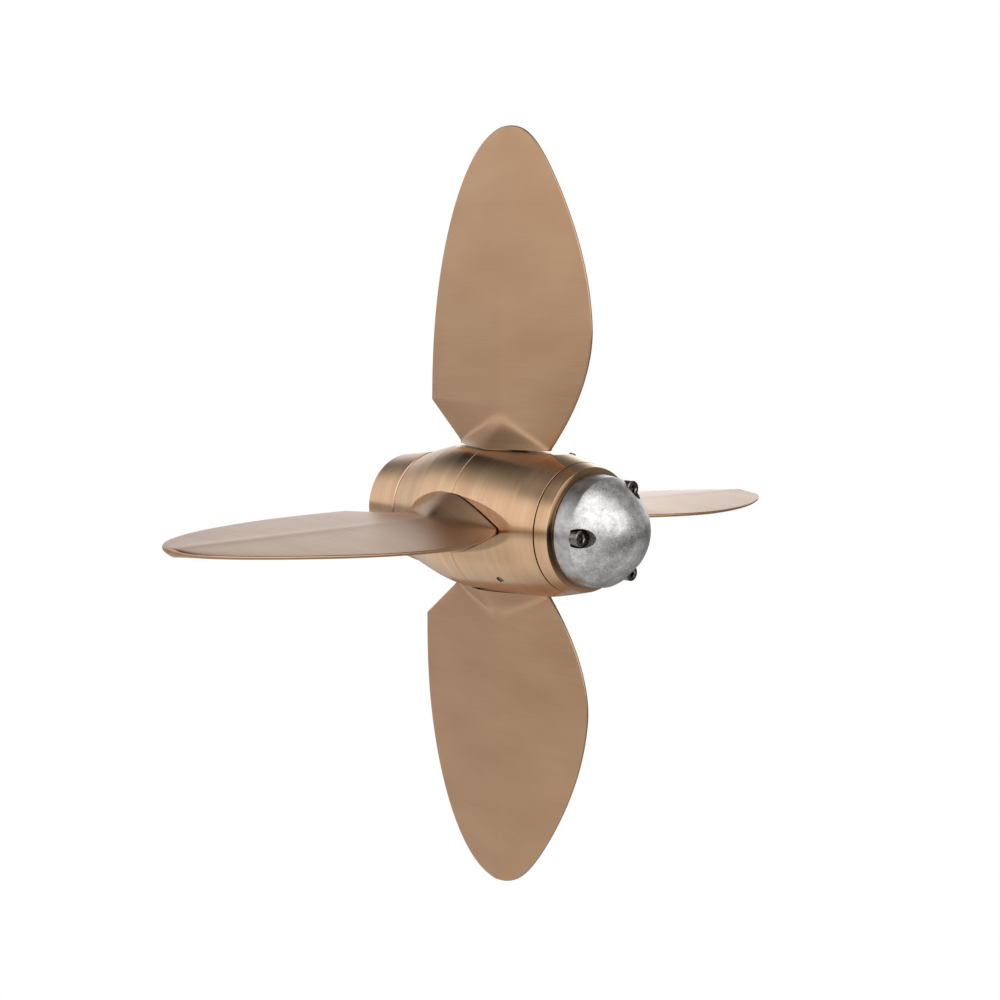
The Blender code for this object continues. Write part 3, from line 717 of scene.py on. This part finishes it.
hubScrew = {
    # angle from +X, place along Y, how far it stands out, its radius, the hole's radius and width
    # of its countersink
    "at": {
        "Lower": (225.6, -33.5, 0.2, 1.9, 2.7, 0.0),
        "Upper": (72.0, -48.5, 1.3, 2.4, 2.7, 0.4),
    },
    "depth": 7.0,
    "room": 0.3,  # left under the screw
    "reach": 3.0,  # of its cutter above the barrel
    "dome": 0.9,  # height of the rounding round its top
    "domeTurn": 1.2,  # how far that turns, in radians, before it goes straight to the middle
    "socket": 1.8,
    "socketDepth": 1.5,
    "columns": 40,
    "holeColumns": 48,
}


def hubScrewCutters():
    h = hubScrew
    made = []
    for name, (angle, y, proud, radius, wide, sink) in h["at"].items():
        surface = float(barrelRadius(y))
        low, start, out = surface - h["depth"] - h["room"], surface - sink, surface + h["reach"]
        rim = wide + 2 * sink
        profile = [(0, low), (wide, low), (wide, start), (rim, surface + sink), (rim, out), (0, out)]
        grid = standing(turned(profile, h["holeColumns"]), y)
        made.append(makeCutter("screwHole" + name, turnedOnto(grid, angle)))
    return made


wells = wellCutters()
boltHoles = boltCutters()
pockets = anodeScrewCutters()
screwHoles = hubScrewCutters()
half = hub["gap"] / 2
tube, neck, nutRoom = hub["tube"], hub["neck"], hub["nutRoom"]
gearRoom, gearBack, gearFront = hub["gearRoom"]
frontInner = [(tube, half), (tube, hub["neckEnd"]), (neck, hub["neckEnd"]), (neck, hub["front"])]
front = hubShell("hubFront", hub["front"], half, frontInner, True)
# the holes' walls take this second slot, a darker bronze that is painted shade
front.data.materials.append(shadedMilledBronze)
cut(front, wells + boltHoles)
install(front, "hub", ["hub_front_half"])
rearInner = [(nutRoom, hub["rear"]), (nutRoom, hub["tubeEnd"]), (hub["tubeRear"], hub["tubeEnd"]),
             (hub["tubeRear"], gearBack), (gearRoom, gearBack), (gearRoom, gearFront), (tube, gearFront),
             (tube, -half)]
rear = hubShell("hubRear", -half, hub["rear"], rearInner, True)
# the holes' walls take this second slot, a darker bronze that is painted shade
rear.data.materials.append(shadedMilledBronze)
cut(rear, wells + boltHoles + pockets + screwHoles)
install(rear, "hub", ["hub_rear_half"])
coverStart = hub["coverStart"]
faceRadius, faceY = hub["coverFace"]
coverInner = [(faceRadius, faceY), (hub["coverBore"], faceY), (hub["coverBore"], coverStart)]
cover = hubShell("rearCover", coverStart, hub["cover"], coverInner, False)
# the cone beside the anode gets the darker bronze, painted shade for that corner
paintFaces(cover, shadedPolishedBronze, onCone)
cut(cover, pockets)
install(cover, "hub", ["rear_cover"])
print("hub barrel made")


# shaft boss

boss = {
    "front": (34.9, 99.2),  # radius and place of the collar's forward corner
    "rear": (39.0, 67.2),
    "chamfer": 1.0,
    "edge": 0.4,
    "neck": (26.4, 24.4),
    "tube": (17.5, -41.0),
    "taperEnd": (12.3, -3.0),
    "bore": 17.5,  # at the forward face
    "keyWidth": 10.0,
    "keyDepth": 3.3,
    "keyEnd": 30.0,
    "keyReach": 10.0,  # of its cutter ahead of the collar
    "columns": 360,
    "step": 1.0,
}


def makeBoss(b):
    # collar, neck and tube in one turned profile, bored with the shaft's taper and cut for its key
    (r1, y1), (r2, y2), c, e = b["front"], b["rear"], b["chamfer"], b["edge"]
    (neckR, neckY), (tubeR, tubeY), (boreR, boreY) = b["neck"], b["tube"], b["taperEnd"]
    profile = [(r1 - c, y1), (r1, y1 - c), (r2, y2 + e), (r2 - e, y2), (neckR, y2), (neckR, neckY),
               (tubeR, neckY), (tubeR, tubeY), (boreR, tubeY), (boreR, boreY), (b["bore"], y1)]
    grid = turned(finely(profile, b["step"]), b["columns"])
    obj = meshFromGrid("shaftBoss", grid, turnedBronze, poles=False)
    # the key slot's floor follows the taper: the box's top corners rise with the bore's radius
    slope = (b["bore"] - boreR) / (y1 - boreY)
    w, far = b["keyWidth"] / 2, y1 + b["keyReach"]
    rings, ends = [], []
    for y in (b["keyEnd"], far):
        top = b["bore"] + b["keyDepth"] + slope * (y - y1)
        rings.append([(-w, y, 0), (w, y, 0), (w, y, top), (-w, y, top)])
        ends.append([(0, y, w)] * 4)
    cut(obj, [makeCutter("keySlot", np.array([ends[0], *rings, ends[1]], float))])
    return obj


install(makeBoss(boss), "boss", ["shaft_boss"])
print("shaft boss made")


# anode

anode = {
    "base": -81.9,
    "baseRadius": 35.6,
    "bandRadius": 34.3,
    "bandEnd": -94.4,
    "nose": -120.3,
    "power": 1.786,
    "fullness": 0.861,
    "edge": 0.5,
    "columns": 360,
    "rows": 110,
    "step": 1.0,  # along the base and the band
}


def makeAnode(a):
    # a plain band, then the dome: y = band end + height x (1 - (r/R)^power)^fullness
    radii = a["bandRadius"] * np.sin(np.linspace(np.pi / 2, 0, a["rows"]))
    rise = (1 - (radii / a["bandRadius"]) ** a["power"]) ** a["fullness"]
    dome = np.stack([radii, a["bandEnd"] + (a["nose"] - a["bandEnd"]) * rise], axis=1)
    r, e = a["baseRadius"], a["edge"]
    band = [(0, a["base"]), (r - e, a["base"]), (r, a["base"] - e), (a["bandRadius"], a["bandEnd"])]
    profile = np.concatenate([finely(band, a["step"])[:-1], dome])
    obj = meshFromGrid("anodeCone", turned(profile, a["columns"]), castZinc)
    # the pocket walls take this second slot, a dark zinc that is painted shade in the pockets
    obj.data.materials.append(shadedPocketZinc)
    cut(obj, pockets)
    return obj


install(makeAnode(anode), "hub", ["anode_cone"])

capScrew = {
    "seat": -95.0,
    "tip": -59.0,
    "radius": 3.0,
    "head": 5.0,
    "headHeight": 6.0,
    "edge": 0.5,
    "socket": 5.0,  # across flats
    "socketDepth": 3.0,
    "step": 1.0,
    "columns": 48,
}


socketReach = 2.0  # of a socket's cutter above the screw head
drillPoint, drillEdge = 0.4, 0.9  # depth and radius of a socket's drilled point in parts of its own


def hexCutter(name, flats, deep, out, place):
    # six-sided hole with a drilled point at its bottom
    r = flats / 2 / math.cos(math.pi / 6)
    profile = [(0, deep + r * drillPoint), (r * drillEdge, deep), (r, deep), (r, out), (0, out)]
    return makeCutter(name, place(turned(profile, 6)))


def makeCapScrew(number, angle, c):
    top = c["seat"] - c["headHeight"]
    e = c["edge"]
    r, head, tip, seat = c["radius"], c["head"], c["tip"], c["seat"]
    profile = [(0, tip), (r - e, tip), (r, tip - e), (r, seat),
               (head, seat), (head, top + e), (head - e, top), (0, top)]
    place = lambda grid: beside(grid, screws["circle"], angle)
    grid = turned(finely(profile, c["step"]), c["columns"])
    obj = meshFromGrid(f"anodeScrew{number}", place(grid), stainlessSteel)
    deep, out = top + c["socketDepth"], top - socketReach
    cut(obj, [hexCutter(f"capSocket{number}", c["socket"], deep, out, place)])
    return obj


for number, angle in enumerate(screws["angles"], 1):
    install(makeCapScrew(number, angle, capScrew), "hub", [f"anode_screw_{number}"])


def makeHubScrew(name, h):
    angle, y, proud, radius, hole, sink = h["at"][name]
    surface = float(barrelRadius(y))
    top, low = surface + proud, surface - h["depth"]
    turns = np.linspace(0, h["domeTurn"], 6)
    dome = [(radius * math.cos(t), top - h["dome"] * (1 - math.sin(t))) for t in turns]
    profile = [(0, low), (radius, low)] + dome + [(0, top)]
    place = lambda grid: turnedOnto(standing(grid, y), angle)
    obj = meshFromGrid("hubScrew" + name, place(turned(profile, h["columns"])), stainlessSteel)
    deep, out = top - h["socketDepth"], top + socketReach
    cut(obj, [hexCutter("screwSocket" + name, h["socket"], deep, out, place)])
    return obj


for name in hubScrew["at"]:
    install(makeHubScrew(name, hubScrew), "hub", ["hub_screw_" + name.lower()])
print("anode and screws made")


# blades

blade = {
    "set": -1.33,  # degrees that each blade stands turned from the shaft line
    "rootFace": 46.6,
    "tip": 250.0,
    "tipY": -0.9,
    "rootForward": 41.0,
    "rootAft": 43.5,
    "shoulder": 74.3,
    "shoulderForward": 74.0,
    "widest": 120.6,
    "widestAft": 79.1,
    "forwardPower": 2.34,
    "forwardFlat": 0.202,
    "aftPower": 1.547,
    "aftFlat": 0.582,
    "rootPower": 1.885,
    "middleRoot": 9.2,  # thickness at mid chord, root and tip
    "middleTip": 3.8,
    "edge": 1.8,
    # the mound that carries the foot: height, width and power of its flanks, rounding of its
    # ridge and of its outer edge, and the radii between which it fades
    "bulge": 21.0,
    "bulgeWidth": 54.9,
    "bulgePower": 1.05,
    "bulgeCrest": 5.8,
    "bulgeSoft": 0.06,
    "bulgeFrom": 32.9,
    "bulgeTo": 70.0,
    # radius and height of the stem, the flange and the journal up to the root
    "foot": [(0, 20.5), (8, 20.5), (8, 33.5), (19.5, 33.5), (19.5, 38.4), (15.9, 38.4), (15.9, 46.6)],
    "rows": 220,
    "columns": 144,
}


def closing(share, power, flat):
    # an ellipse-like fall from 1 to 0, drawn a little straighter near its end
    share = np.clip(share, 0, 1)
    return np.sqrt(1 - share**power) - flat * share**3 * (1 - share)


def forwardEdge(radius):
    # straight from the root to the shoulder, then a full curve to the tip
    b = blade
    rise = (radius - b["rootFace"]) / (b["shoulder"] - b["rootFace"])
    straight = b["rootForward"] + (b["shoulderForward"] - b["rootForward"]) * rise
    share = (radius - b["shoulder"]) / (b["tip"] - b["shoulder"])
    fall = closing(share, b["forwardPower"], b["forwardFlat"])
    curve = b["tipY"] + (b["shoulderForward"] - b["tipY"]) * fall
    return np.where(radius < b["shoulder"], straight, curve)


def aftEdge(radius):
    # bows out from the root to the widest radius, then closes to the tip
    b = blade
    below = np.clip((b["widest"] - radius) / (b["widest"] - b["rootFace"]), 0, 1)
    lower = -b["widestAft"] + (b["widestAft"] - b["rootAft"]) * below ** b["rootPower"]
    share = (radius - b["widest"]) / (b["tip"] - b["widest"])
    curve = b["tipY"] - (b["widestAft"] + b["tipY"]) * closing(share, b["aftPower"], b["aftFlat"])
    return np.where(radius < b["widest"], lower, curve)


def bladeGrid():
    # rows run up the span and columns round each section; a section's half thickness is a lens
    # over the chord plus the root mound, which is what its fade leaves above its flanks, brought to
    # nothing over a round edge
    b = blade
    span = np.sin(np.linspace(0, np.pi / 2, b["rows"]))
    radius = (b["rootFace"] + (b["tip"] - b["rootFace"]) * span)[:, None]
    around = (2 * np.pi * np.arange(b["columns"]) / b["columns"])[None, :]
    low, high = aftEdge(radius), forwardEdge(radius)
    half = (high - low) / 2
    y = (high + low) / 2 + half * np.cos(around)
    share = (radius - b["rootFace"]) / (b["tip"] - b["rootFace"])
    middle = (b["middleRoot"] + (b["middleTip"] - b["middleRoot"]) * share) / 2
    rim = b["edge"] / 2
    thick = rim + (middle - rim) * np.sin(around) ** 2
    fade = np.clip((radius - b["bulgeFrom"]) / (b["bulgeTo"] - b["bulgeFrom"]), 0, 1)
    ridge = np.hypot(y, b["bulgeCrest"]) - b["bulgeCrest"]
    rise = 0.5 * (1 + np.cos(np.pi * fade)) - (ridge / b["bulgeWidth"]) ** b["bulgePower"]
    thick = thick + b["bulge"] * 0.5 * (rise + np.hypot(rise, b["bulgeSoft"]))
    inset = np.minimum(half * (1 - np.abs(np.cos(around))) / rim, 1)
    atTip = np.minimum((b["tip"] - radius) / rim, 1)
    rounded = np.sqrt(1 - (1 - inset) ** 2) * np.sqrt(1 - (1 - atTip) ** 2)
    x = np.sign(np.sin(around)) * thick * rounded
    plate = np.stack(np.broadcast_arrays(x, y, radius), axis=-1)
    ringX, ringY = np.sin(around)[0], np.cos(around)[0]
    rings = [np.stack([r * ringX, r * ringY, np.full_like(ringX, h)], axis=-1) for r, h in b["foot"]]
    grid = np.concatenate([np.array(rings), plate])
    turn = math.radians(b["set"])
    x, y = grid[..., 0].copy(), grid[..., 1].copy()
    grid[..., 0] = x * math.cos(turn) - y * math.sin(turn)
    grid[..., 1] = x * math.sin(turn) + y * math.cos(turn)
    return grid


bladeShape = bladeGrid()
for name, angle in (("Top", 90), ("Right", 0), ("Bottom", 270), ("Left", 180)):
    low = name.lower()
    piece = meshFromGrid("blade" + name, turnedOnto(bladeShape, angle), brushedBronze)
    install(piece, low + "_blade", ["blade_" + low])
print("blades made")


# floor

floor = {"half": 6000.0, "drop": -900.0}


def makeFloor(f):
    # a plain white sheet of paper that is as bright as the background; the metal mirrors the
    # studio's own floor below it, whose light is uneven, instead of the sheet
    material, tree, _ = newMaterial("floorPaper")
    tree.nodes.clear()
    glow = addNode(tree, "ShaderNodeEmission", {"Color": (1.0, 1.0, 1.0, 1.0), "Strength": 1.0})
    addNode(tree, "ShaderNodeOutputMaterial", links={"Surface": (glow, 0)})
    half, drop = f["half"] * mm, f["drop"] * mm
    corners = [(-half, -half, drop), (half, -half, drop), (half, half, drop), (-half, half, drop)]
    mesh = bpy.data.meshes.new("floor")
    mesh.from_pydata(corners, [], [(0, 1, 2, 3)])
    mesh.materials.append(material)
    obj = bpy.data.objects.new("floor", mesh)
    bpy.context.scene.collection.objects.link(obj)
    obj.visible_glossy = False
    obj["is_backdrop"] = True


makeFloor(floor)

low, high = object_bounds()
